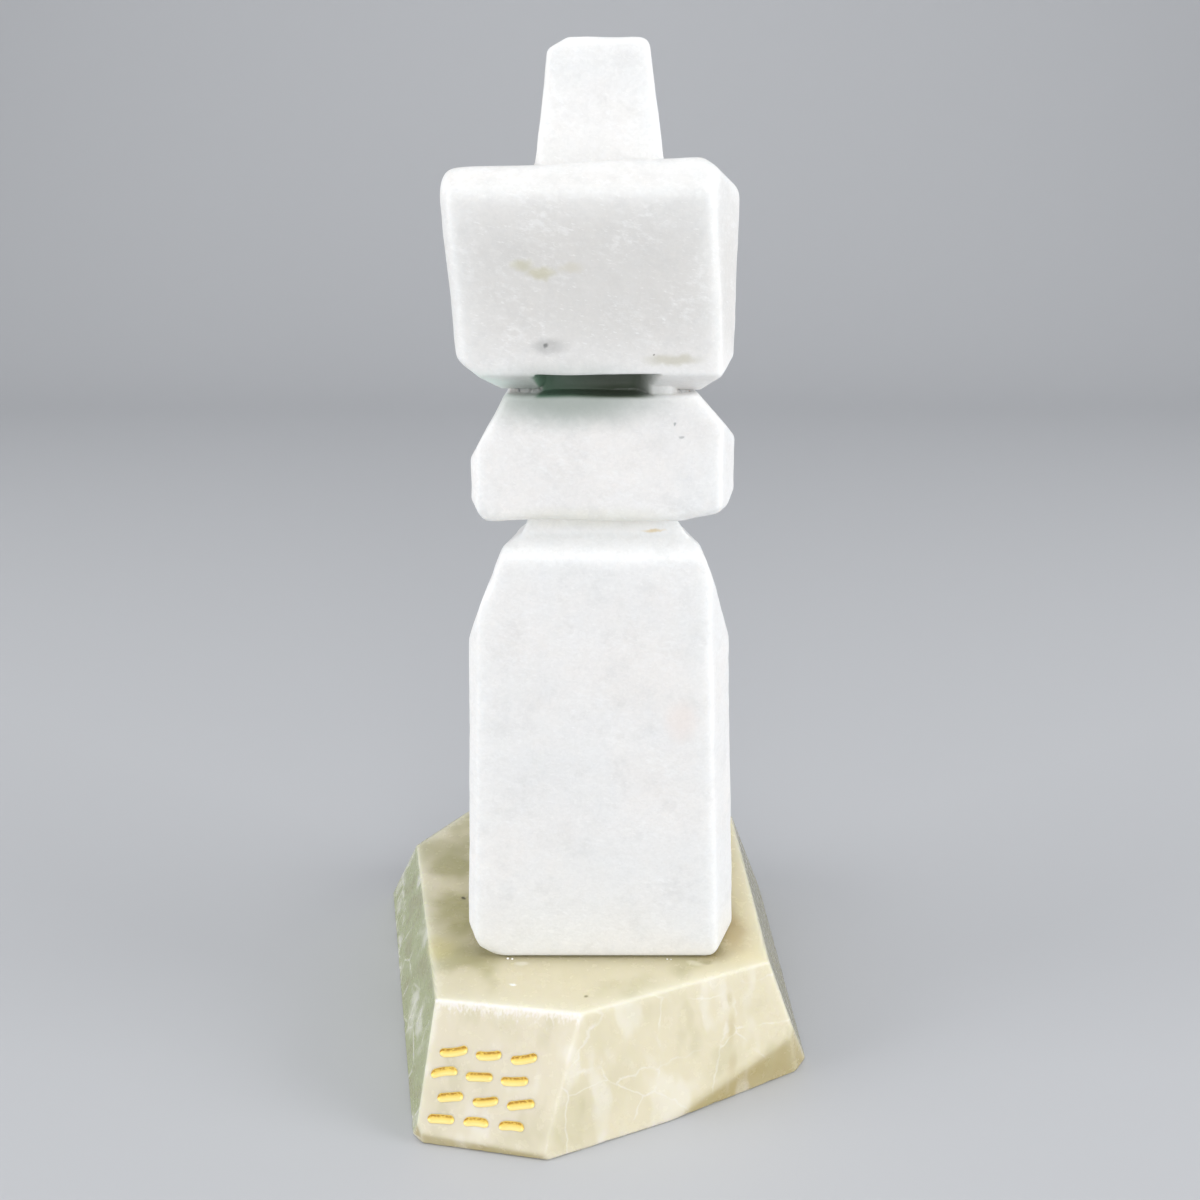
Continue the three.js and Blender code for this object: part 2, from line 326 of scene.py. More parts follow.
def calmed(values: Array, passes: int, loop: bool) -> Array:
    """Rows that are evened out between neighbours, by (before + 2 here + after) / 4 in each pass.

    Args:
        values: one row for each line.
        passes: how often that is done.
        loop: whether the last line is the first one again.

    Returns:
        The calmer values.
    """
    for _ in range(passes):
        if loop:
            own = values[:-1]
            own = (np.roll(own, 1, axis=0) + 2 * own + np.roll(own, -1, axis=0)) / 4
            values = np.concatenate([own, own[:1]])
        else:
            inner = (values[:-2] + 2 * values[1:-1] + values[2:]) / 4
            values = np.concatenate([values[:1], inner, values[-1:]])
    return values


@dataclass
class Skin:
    """The closed skin of a pile of blocks, on a grid of rings from the foot to the crown by columns.

    The rough grid runs up the sharp blocks. Its points walk down the gradient of the pile's rounded field
    to where it is 0, and are spread anew along the columns and the rings. The turn weight is how many
    millimetres a turn by a radian counts for, and a focus is how closely the points stand at a place.
    """

    blocks: Sequence[Block]
    rings: Sequence[int]
    columns: int
    wear: Shares
    turn_weight: float = 3.0
    column_focus: Shares | None = None
    ring_focus: Shares | None = None

    FINE_LEVELS = 37
    FINE_COLUMNS = 400
    ROUNDS = 2
    COLUMN_PASSES = 12
    RING_PASSES = 40
    EASINGS = 8
    EASE = 0.5
    FAR = 1000.0
    MARGIN = 8.0
    LEAST_SLOPE = 0.05

    def field(self, points: Array) -> Field:
        """How far each point is outside the worn pile, and the gradient; a block counts near its levels."""
        value = np.full(points.shape[:-1], self.FAR)
        slope = np.zeros(points.shape)
        for block in self.blocks:
            near = (points[..., 2] > block.foot - self.MARGIN) & (points[..., 2] < block.top + self.MARGIN)
            own = block.field(points[near])
            value[near], slope[near] = rounded_min(value[near], slope[near], *own, block.fillet)
        return value + self.wear(points), slope

    def settled(self, grid: Array, steps: int = 4) -> Field:
        """Points walked on to the surface in a few steps, and its unit normals there."""
        for _ in range(steps):
            value, slope = self.field(grid)
            grid = grid - (value / np.maximum((slope ** 2).sum(-1), self.LEAST_SLOPE))[..., None] * slope
        slope = self.field(grid)[1]
        return grid, slope / np.linalg.norm(slope, axis=-1, keepdims=True)

    def rough(self) -> Array:
        """The grid on the sharp blocks, with a pole as its first and its last ring."""
        angles = np.linspace(0, 2 * math.pi, self.FINE_COLUMNS + 1)
        ways = np.stack([np.cos(angles), np.sin(angles)], axis=1)
        rise = (1 - np.cos(np.linspace(0, math.pi, self.FINE_LEVELS))) / 2
        parts = [block.section(ways, block.foot + rise * block.size[2]) for block in self.blocks]
        foot = parts[0][:1] * [0, 0, 1]
        normals, distances = self.blocks[-1].planes
        crown = np.zeros_like(foot)
        crown[..., 2] = distances[-1] / normals[-1, 2]
        return np.concatenate([foot, *parts, crown])

    def respaced(self, lines: Array, slopes: Array, count: int, focus: Shares | None, passes: int,
                 loop: bool) -> Array:
        """The same lines with their points spread anew, closer together where the surface turns.

        Formula: even steps of length times focus plus the turn weight times the turn, evened out between
        neighbouring lines.

        Args:
            lines: points, as lines by points by 3.
            slopes: the surface's normals there.
            count: how many points each new line has.
            focus: a share for each point that its length counts by, or None.
            passes: how far the spread is evened out between lines.
            loop: whether the last line is the first one again.

        Returns:
            The new points, as lines by count by 3.
        """
        steps = np.linalg.norm(np.diff(lines, axis=1), axis=2)
        if focus:
            steps = steps * focus((lines[:, 1:] + lines[:, :-1]) / 2)
        bends = np.linalg.norm(np.diff(slopes, axis=1), axis=2)
        along = np.cumsum(steps + self.turn_weight * bends, axis=1)
        along = np.concatenate([np.zeros((len(lines), 1)), along], axis=1)
        even = np.linspace(0, 1, along.shape[1])
        along = np.where(along[:, -1:] > TINY, along / np.maximum(along[:, -1:], TINY), even)
        along = calmed(along, passes, loop)
        wanted = np.linspace(0, 1, count)
        spread = np.empty((len(lines), count, 3))
        for line, place, out in zip(lines, along, spread):
            for axis in range(3):
                out[:, axis] = np.interp(wanted, place, line[:, axis])
        return spread

    def grid(self) -> Array:
        """The finished grid, as rings by columns by 3, without a second copy of the first column."""
        grid, slopes = self.settled(self.rough())
        pins = [0] + [1 + self.FINE_LEVELS * i + self.FINE_LEVELS // 2 for i in range(len(self.blocks))]
        pins.append(len(grid) - 1)
        for _ in range(self.ROUNDS):
            spans = []
            for low, high, count in zip(pins[:-1], pins[1:], self.rings):
                span, bends = (np.swapaxes(values[low:high + 1], 0, 1) for values in (grid, slopes))
                spread = self.respaced(span, bends, count + 1, self.column_focus, self.COLUMN_PASSES, True)
                spans.append(np.swapaxes(spread, 0, 1)[:-1])
            spans.append(grid[-1:])
            pins = [0, *np.cumsum(self.rings).tolist()]
            grid, slopes = self.settled(np.concatenate(spans))
            grid[:, -1] = grid[:, 0]
            slopes[:, -1] = slopes[:, 0]
            grid = self.respaced(grid, slopes, self.columns + 1, self.ring_focus, self.RING_PASSES, False)
            grid, slopes = self.settled(grid)
        return self.relaxed(grid[:, :-1], slopes[:, :-1])

    def relaxed(self, grid: Array, slopes: Array) -> Array:
        """The grid with each point eased along the surface toward the middle of its four neighbours."""
        for _ in range(self.EASINGS):
            middle = (np.roll(grid, 1, axis=1) + np.roll(grid, -1, axis=1))[1:-1] + grid[:-2] + grid[2:]
            pull = middle / 4 - grid[1:-1]
            normal = slopes[1:-1]
            grid[1:-1] += self.EASE * (pull - (pull * normal).sum(-1, keepdims=True) * normal)
            grid, slopes = self.settled(grid, 1)
        return self.settled(grid)[0]


# Meshes

class Slot(Enum):
    """The record's material slots."""

    MARBLE = "white_marble"
    BASE = "pale_green_stone"


def between(here: Array, beside: Array) -> Array:
    """The four-sided faces between two grids of point numbers, the second of which is one column on."""
    return np.stack([here[:-1], beside[:-1], beside[1:], here[1:]], axis=-1).reshape(-1, 4)


def closed_grid(grid: Array) -> Mesh:
    """A closed mesh over rings by columns that run left about their axis, with a pole at each end."""
    rings, columns = grid.shape[:2]
    points = np.concatenate([grid[0, :1], grid[1:-1].reshape(-1, 3), grid[-1, :1]])
    here = 1 + np.arange((rings - 2) * columns).reshape(rings - 2, columns)
    beside = np.roll(here, -1, axis=1)
    foot = np.stack([np.zeros(columns, int), beside[0], here[0]], axis=-1)
    crown = np.stack([np.full(columns, len(points) - 1), here[-1], beside[-1]], axis=-1)
    return points, between(here, beside).tolist() + foot.tolist() + crown.tolist()


def joined(parts: Sequence[Mesh]) -> Mesh:
    """Several meshes as one, with the point numbers of their faces counted on."""
    points, faces = [], []
    for own_points, own_faces in parts:
        start = sum(len(p) for p in points)
        points.append(own_points)
        faces += [[i + start for i in face] for face in own_faces]
    return np.concatenate(points), faces


def placed(name: str, data: bpy.types.ID) -> bpy.types.Object:
    """A new object in the scene with this data."""
    item = bpy.data.objects.new(name, data)
    bpy.context.scene.collection.objects.link(item)
    return item


def smooth(name: str, points: Array, faces: list[list[int]], material: Material) -> bpy.types.Object:
    """A smooth mesh object of one finish, from points in metres."""
    mesh = bpy.data.meshes.new(name)
    mesh.from_pydata(points.tolist(), [], faces)
    mesh.polygons.foreach_set("use_smooth", np.ones(len(mesh.polygons), bool))
    mesh.materials.append(material)
    return placed(name, mesh)


def make_piece(name: str, points: Array, faces: list[list[int]], material: Material,
               slot: Slot, node: str | None = None, **marks: Array) -> None:
    """Makes one mesh piece that rides on the part.

    Args:
        name: the piece's name.
        points: its points in millimetres, in the part's frame.
        faces: its faces, as point numbers.
        material: its finish.
        slot: the record's material slot meant for it; not used.
        node: the CAD node that it stands for, or None.
        **marks: numbers at each point that the finish reads, by name.
    """
    piece = smooth(name, points * MM, faces, material)
    for mark, values in marks.items():
        data = piece.data.attributes.new(mark, "FLOAT", "POINT").data
        data.foreach_set("value", values.astype(np.float32))
    piece.data.update()
    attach(piece, "root")
    if node:
        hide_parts(node)
    log.info("%s: %d points, %d faces", name, len(points), len(faces))


def node_shift(points: Array, node: str) -> Array:
    """How far a mesh moves so that its box's middle lies over the CAD node's, and its level 0 on its foot.

    Args:
        points: the mesh in its own frame, in millimetres.
        node: the CAD node's name.

    Returns:
        The shift in millimetres.
    """
    low, high = (np.array(corner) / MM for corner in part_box(node))
    own_low, own_high = points.reshape(-1, 3).min(0), points.reshape(-1, 3).max(0)
    shift = (low + high) / 2 - (own_low + own_high) / 2
    shift[2] = low[2]
    return shift


# The figure

@dataclass
class MarbleFigure:
    """The figure: six stones in one block of white marble, from the foot up."""

    material: Material
    rings: tuple[int, ...] = (74, 64, 36, 42, 54, 52, 32)
    columns: int = 256
    sink: float = 2.5
    recess: Recess = Recess(low=-14.6, high=14.0, back=-15.5, ceiling=154.2, mouth=(-27.2, 148.7))
    ripple: float = 0.45
    pitting: float = 0.12
    calm_foot: float = 12.0
    rim: float = 3.0
    foot_shade: float = 3.0
    foot_level: float = 4.0

    FLOOR_DROPS = (1.0, 0.1)
    CEILING_SLACK = 0.3

    BODY = faces(
        left=(180, 2.2, 1.012, 0.07),
        right=(0, 2.7, 1, 0.07),
        front=(270, 1.6, 1, 0),
        back=(90, 1.2, 1, 0),
        right_front_corner=(338, 3.2, 0.82, 0.4),
        left_front_corner=(218, 3, 0.935, 0.23),
        right_back_corner=(38, 3, 0.93, 0.2),
        left_back_corner=(145, 3, 0.92, 0.2),
        left_slant=(174, 21.1, 0.806, 0.782),
        right_slant=(6, 19.9, 0.768, 0.788),
        left_shoulder=(165, 51, 0.4315, 0.981),
        right_shoulder=(15, 49, 0.4, 0.99),
        front_shoulder=(270, 45, 0.867, 0.961),
        back_shoulder=(90, 45, 0.9, 0.95),
        left_foot=(188, -25, 0.953, 0.0399, 2.5),
        left_foot_low=(188, -58, 0.876, 0.0105, 2.5),
        right_foot=(335, -45, 0.888, 0.0122, 2.5),
    )
    WAIST = faces(
        left=(165, 20, 0.582, 0.1),
        right=(15, 32, 0.627, 0.1),
        front=(270, 18, 0.906, 0.1),
        back=(90, 15, 0.88, 0.1),
        left_front_corner=(210, 18, 0.93, 0.1),
    )
    MIDDLE = faces(
        left=(180, 0, 1, 0.2),
        right=(0, 1, 1, 0.3),
        front=(270, 1.5, 1, 0.07),
        back=(90, 1.5, 1, 0.07),
        right_front_corner=(340, 2, 0.894, 0.38),
        left_front_corner=(215, 2, 0.95, 0.4),
        right_back_corner=(38, 2, 0.93, 0.4),
        left_back_corner=(142, 2, 0.94, 0.4),
        left_slant=(177, 28.9, 0.768, 0.795),
        right_slant=(5, 41.9, 0.738, 0.795),
        back_slant=(90, 40, 0.93, 0.88),
        left_low=(180, -35, 0.993, 0.14),
        right_low=(0, -37, 0.99, 0.14),
        right_foot=(0, -78, 0.878, 0.057),
        top=(0, 90, 0, 0.973, 1.0),
    )
    COLLAR = faces(
        left=(177, 0, 0.851, 0.5),
        right=(5, 0, 0.793, 0.5),
        front=(262, 0, 0.85, 0.5),
        back=(90, 0, 0.88, 0.5),
        left_front_corner=(207.5, 0, 0.764, 0.5),
        right_front_corner=(324, 0, 0.83, 0.5),
        left_back_corner=(140, 0, 0.8, 0.5),
        right_back_corner=(42, 0, 0.8, 0.5),
    )
    UPPER = faces(
        left=(180, -3.1, 1.011, 0.82),
        right=(0, -1, 0.994, 0.83),
        front=(270, -2.5, 0.931, 0.1),
        back=(90, -2, 0.94, 0.1),
        right_front_corner=(337, 3.2, 0.83, 0.84),
        left_front_corner=(216, -3, 0.955, 0.8),
        right_back_corner=(38, -2, 0.92, 0.6),
        left_back_corner=(142, -2, 0.93, 0.6),
        right_shoulder=(0, 55.7, 0.992, 0.89),
        front_shoulder=(270, 40, 0.985, 0.88),
        back_shoulder=(90, 42, 0.94, 0.9),
        left_low=(180, -50.5, 0.955, 0.14, 3.0),
        right_low=(0, -45, 0.998, 0.15, 1.4),
        front_low=(270, -61.5, 0.931, 0.075, 1.2),
        back_low=(90, -62, 0.93, 0.08, 2.0),
        top=(180, 87.6, 0, 0.995),
    )
    HEAD = faces(
        left=(180, 7.2, 0.99, 0),
        right=(0, 7.9, 0.985, 0.04),
        front=(270, 7, 0.985, 0),
        back=(90, 6, 0.985, 0),
        left_front_corner=(218, 7, 0.93, 0),
        right_front_corner=(318, 7, 0.95, 0),
        left_crown=(180, 62, 0.66, 0.93),
        top=(180, 88.9, 0, 0.9875, 2.6),
    )

    def stones(self) -> list[Block]:
        """The stones in their places on the figure's axis, each on the one below."""
        shapes = [
            Block((70.8, 46.6, 115.7), self.BODY, 3.0, 1.2, 0.7, 0.012, -0.045),
            Block((39.8, 36.1, 4.3), self.WAIST, 0.8, 0.8, 0.7, 0.008, -0.043,
                  sunk_foot=0.8, sunk_top=self.sink),
            Block((61.1, 43.4, 29.7), self.MIDDLE, 2.4, 1.8, 0.7, 0.016, -0.039),
            Block((45.8, 35.2, 0.8), self.COLLAR, 1.6, 0.8, 0.3, 0.007, -0.045,
                  sunk_foot=1.5, sunk_top=self.sink, recess=self.recess),
            Block((63.1, 51.8, 46.6), self.UPPER, 4.4, 1.6, 0.3, -0.017, -0.056, sunk_foot=0.9,
                  recess=self.recess),
            Block((28, 26, 24.7), self.HEAD, 1.8, 0.8, 0.5, -0.004, -0.008, sunk_foot=self.sink),
        ]
        stones, level = [], 0.0
        for shape in shapes:
            stones.append(replace(shape, foot=level))
            level += shape.size[2]
        return stones

    def skin(self) -> Skin:
        """The figure's skin, with the slight unevenness of hand work, which fades at the foot."""
        ripple, pits = Waves(length=24, seed=3), Waves(length=5, seed=4)

        def wear(points: Array) -> Array:
            """How far the surface lies under the even one."""
            unevenness = self.ripple * ripple(points) + self.pitting * pits(points)
            return unevenness * soft_step(points[..., 2], 0, self.calm_foot)

        return Skin(self.stones(), self.rings, self.columns, wear)

    def marks(self, points: Array) -> dict[str, Array]:
        """What the finish reads at each point: its nearness to a strong edge, for a painted glow, and its
        depth in the slot, for painted shade.
        """
        rim = np.zeros(len(points))
        for stone in self.stones():
            here = (points[:, 2] >= stone.foot) & (points[:, 2] <= stone.top)
            rim[here] = stone.rim(points[here], self.rim)
        start, stop = (self.recess.mouth[1] - drop for drop in self.FLOOR_DROPS)
        below = points[:, 2] < self.recess.ceiling + self.CEILING_SLACK
        levels = soft_step(points[:, 2], start, stop) * below
        return {"rim": rim, "slot_shade": self.recess.shade(points) * levels}

    def beside_foot(self, points: Array) -> Array:
        """How near points of the ground are to the figure's foot, in its frame: exp(-d / 3 mm)."""
        away = self.stones()[0].field(points * [1, 1, 0] + self.foot_level * UP)[0]
        return np.exp(-np.maximum(away, 0) / self.foot_shade)

    def build(self) -> Array:
        """Makes the figure's mesh, and returns how far its axis stands off the part's origin, in mm."""
        points, faces = closed_grid(self.skin().grid())
        shift = node_shift(points, "marble_figure")
        make_piece("marble_figure_skin", points + shift, faces, self.material, Slot.MARBLE, "marble_figure",
                   **self.marks(points))
        return shift


# The base

@dataclass(frozen=True)
class StrokeRows:
    """Rows of short round strokes cut in a face of a block of a size."""

    face: Face
    size: Triple
    length: float = 6.8
    width: float = 2.2
    depth: float = 0.8
    slant: float = 8.0
    pitch: float = 9.0
    in_row: int = 3
    row_pitch: float = 5.6
    stagger: float = 2.0
    rows: int = 4
    aside: float = -0.114
    level: float = 0.44
    seed: int = 11

    # The least and the most of the turn in degrees, the share of the length and the bow
    HAND_LOW = (-7, 0.9, -0.45)
    HAND_HIGH = (7, 1.08, 0.45)

    @property
    def radius(self) -> float:
        """Radius of the round cutter that leaves a cut this wide and this deep."""
        half = self.width / 2
        return (half ** 2 + self.depth ** 2) / (2 * self.depth)

    def places(self) -> list[tuple[int, float, float, float, float, float]]:
        """Where each stroke's middle lies, and what the hand adds to it.

        Returns:
            For each stroke its row, its place along the face and up it, its slant in radians, half the
            length of its middle line, and its bow, in millimetres.
        """
        draw = np.random.default_rng(self.seed)
        hand = draw.uniform(self.HAND_LOW, self.HAND_HIGH, (self.rows * self.in_row, 3))
        found = []
        for i, (turn, share, bow) in enumerate(hand):
            row, place = divmod(i, self.in_row)
            shift = (0.5 if row % 2 else -0.5) * self.stagger
            across = (place - (self.in_row - 1) / 2) * self.pitch + shift
            up = (row - (self.rows - 1) / 2) * self.row_pitch
            half = (self.length * share - self.width) / 2
            found.append((row, across, up, math.radians(self.slant + turn), half, bow))
        return found

    def bow(self, ahead: Array, by: float) -> Array:
        """How far a stroke's line lies to its side: by (1 - (2 ahead / length)^2)."""
        return by * (1 - (2 * ahead / self.length) ** 2)

    @cached_property
    def panel(self) -> Field:
        """The middle of the strokes' panel on the face, and its axes along, up and out as rows."""
        block = Block(self.size, {"face": self.face}, 0.0)
        normal, distance = block.planes[0][0], block.planes[1][0]
        along = np.array([-normal[1], normal[0], 0.0])
        along /= np.linalg.norm(along)
        height = self.level * self.size[2]
        middle = normal * [1, 1, 0] * (distance - height * normal[2]) / (1 - normal[2] ** 2)
        middle = middle + along * self.aside * self.size[0] + [0, 0, height]
        return middle, np.stack([along, np.cross(normal, along), normal])

    def cut(self, points: Array) -> Array:
        """How deep a round bar laid along every stroke has cut at each point, and 0 beside the strokes."""
        middle, axes = self.panel
        local = (points - middle) @ axes.T
        lift = self.radius - self.depth
        deepest = np.zeros(points.shape[:-1])
        for _, across, up, slant, half, bow in self.places():
            u, v = local[..., 0] - across, local[..., 1] - up
            ahead = math.cos(slant) * u + math.sin(slant) * v
            beside = math.cos(slant) * v - math.sin(slant) * u - self.bow(ahead, bow)
            away = np.hypot(np.maximum(np.abs(ahead) - half, 0), beside)
            deepest = np.maximum(deepest, np.sqrt(np.maximum(self.radius ** 2 - away ** 2, 0)) - lift)
        return np.where(np.abs(local[..., 2]) < 3 * self.depth, deepest, 0)


@dataclass
class StoneBase:
    """The base: one angular block with ground faces and gilded strokes."""

    material: Material
    gilt: Material
    size: Triple = (127.2, 127.5, 33.0)
    edge: float = 0.5
    foot_edge: float = 0.6
    rings: tuple[int, int] = (76, 90)
    columns: int = 440
    ripple: float = 0.08
    inset: float = 0.06
    chip: float = 0.5
    rim: float = 0.9
    glow: float = 2.4
    gold_rise: float = 0.05
    gold_under: float = 0.35
    turn_weight: float = 2.0

    CHIP_LEVELS = (1.8, 0.3)
    CHIP_WAVES = (0.22, 0.42)
    PANEL_FOCUS = 4.0
    PANEL_TURN = 15.0
    SIDE_FOCUS = 5.0
    END_POINTS = 9
    LINE_POINTS = 8
    WIDTH_POINTS = 15
    GOLD_WIDTH = 0.97

    FACES = faces(
        left=(192.6, 14.2, 0.684, 0),
        front_left=(261.9, 26.3, 0.902, 0),
        front_right=(291.6, 17.5, 0.694, 0),
        right=(1.6, 19.8, 0.963, 0),
        back_right=(60, 20, 0.849, 0),
        back=(87.1, 16.9, 0.913, 0),
        back_left=(144.8, 34.8, 0.887, 0),
        low_front_left=(260.5, 0, 0.872, 0),
        low_front_right=(296, 4, 0.674, 0),
        low_right=(325, 8, 0.78, 0),
        low_left=(225, 0, 0.757, 0),
    )

    @cached_property
    def strokes(self) -> StrokeRows:
        """The strokes in the front left face."""
        return StrokeRows(self.FACES["front_left"], self.size)

    def block(self, cut: Shares | None = None) -> Block:
        """The base's block with its cuts."""
        return Block(self.size, self.FACES, self.edge, self.foot_edge, cut=cut)

    def wear(self) -> Shares:
        """How far the surface lies under the even one: a faint ripple, and small chips at the foot."""
        ripple, chips = Waves(length=30, seed=5), Waves(length=3.0, seed=9)

        def depth(points: Array) -> Array:
            """The ripple and the chips at each point."""
            low = soft_step(points[..., 2], *self.CHIP_LEVELS) * soft_step(chips(points), *self.CHIP_WAVES)
            return self.inset + self.ripple * (1 + ripple(points)) / 2 + self.chip * low

        return depth

    def marks(self, points: Array) -> dict[str, Array]:
        """What the finish reads at each point: which face it is on, and how near an edge."""
        block = self.block()
        return {
            "top": block.face_share(points, ["top"]),
            "left": block.face_share(points, ["left", "low_left"]),
            "front_left": block.face_share(points, ["front_left"], 0.3),
            "low": block.face_share(points, [name for name in self.FACES if "low" in name]),
            "side": block.face_share(points, ["right", "back_right", "back", "back_left"]),
            "rim": block.rim(points, self.rim),
            "glow": block.rim(points, self.glow),
        }

    def build(self, beside: Shares) -> None:
        """Makes the base's mesh and the gilding in its strokes.

        Args:
            beside: how near a point of the part is to the figure's foot.
        """
        middle = self.strokes.panel[0]

        def panel(points: Array) -> Array:
            """Columns are closer toward the face with the strokes."""
            off = np.arctan2(points[..., 1], points[..., 0]) - math.atan2(middle[1], middle[0])
            return 1 + self.PANEL_FOCUS * np.exp(-(off / math.radians(self.PANEL_TURN)) ** 4)

        def sides(points: Array) -> Array:
            """Rings are closer up the sides."""
            z = points[..., 2]
            return np.where((z > self.edge) & (z < self.size[2] - self.edge), self.SIDE_FOCUS, 1.0)

        block = self.block(self.strokes.cut)
        skin = Skin([block], self.rings, self.columns, self.wear(), self.turn_weight, sides, panel)
        points, faces = closed_grid(skin.grid())
        shift = node_shift(points, "stone_base")
        make_piece("stone_base_skin", points + shift, faces, self.material, Slot.BASE, "stone_base",
                   **self.marks(points), beside=beside(points + shift))
        self.gild(shift)

    def gild(self, shift: Array) -> None:
        """Makes the gold in the cuts, one piece for each row.

        A stroke is a grid over its stadium outline: x runs along it and y = v w(x), where w is the half
        width. Its upper side follows the round of the cut, and its underside lies closed in the stone.

        Args:
            shift: how far the base stands off the part's origin.
        """
        rows = self.strokes
        middle, axes = rows.panel
        half, radius = rows.width / 2, rows.radius
        ends = half * np.sin(np.linspace(0, math.pi / 2, self.END_POINTS))
        across = np.linspace(-1, 1, self.WIDTH_POINTS)
        here = np.arange((2 * len(ends) + self.LINE_POINTS) * 2 * len(across)).reshape(-1, 2 * len(across))
        beside = np.roll(here, -1, axis=1)
        quads = np.stack([here[:-1], here[1:], beside[1:], beside[:-1]], axis=-1).reshape(-1, 4)
        faces = [*quads.tolist(), here[0].tolist(), here[-1][::-1].tolist()]
        upper_edge = np.tile(np.concatenate([across, across[::-1]]), len(here) * rows.in_row)
        strokes = [[] for _ in range(rows.rows)]
        for row, along, up, slant, straight, bow in rows.places():
            middles = np.linspace(-straight, straight, self.LINE_POINTS + 2)[1:-1]
            x = np.concatenate([-straight - ends[::-1], middles, straight + ends])[:, None]
            past = np.maximum(np.abs(x) - straight, 0)
            y = self.GOLD_WIDTH * np.sqrt(np.maximum(half ** 2 - past ** 2, 0)) * across
            depth = np.sqrt(radius ** 2 - np.hypot(past, y) ** 2) - (radius - rows.depth)
            x = np.broadcast_to(x, y.shape)
            side = y + rows.bow(x, bow)
            upper = np.stack([x, side, self.gold_rise - depth], axis=-1)
            lower = np.stack([x, side, -depth - self.gold_under], axis=-1)
            local = np.concatenate([upper, lower[:, ::-1]], axis=1).reshape(-1, 3)
            spin = np.array([[math.cos(slant), math.sin(slant)], [-math.sin(slant), math.cos(slant)]])
            local[:, :2] = local[:, :2] @ spin + [along, up]
            strokes[row].append((local @ axes + (middle + shift), faces))
        for row, parts in enumerate(strokes, 1):
            make_piece(f"gilded_strokes_{row}", *joined(parts), self.gilt, Slot.BASE, upper=upper_edge)


# The glue

@dataclass
class GlueSpecks:
    """A few specks of glue that were pressed out at the figure's foot, as their middles and radii."""

    material: Material
    specks: tuple[tuple[float, ...], ...] = (
        (-17.8, -28.5, 33.05, 0.34, 0.3, 0.26),
        (-16.6, -28.6, 33.0, 0.3, 0.28, 0.24),
        (24.6, -28.7, 33.0, 0.22, 0.2, 0.18),
        (25.6, -28.8, 33.0, 0.16, 0.16, 0.14),
    )
    rings: int = 9
    columns: int = 16

    def build(self) -> None:
        """Makes the specks: ellipsoids of x = a sin t cos u, y = b sin t sin u and z = -c cos t."""
        t = np.linspace(0, math.pi, self.rings)[:, None]
        u = np.linspace(0, 2 * math.pi, self.columns, endpoint=False)
        ball = np.stack([np.sin(t) * np.cos(u), np.sin(t) * np.sin(u), -np.cos(t) + 0 * u], axis=-1)
        specks = [closed_grid(ball * speck[3:] + speck[:3]) for speck in self.specks]
        make_piece("glue_specks", *joined(specks), self.material, Slot.BASE)


# Finishes

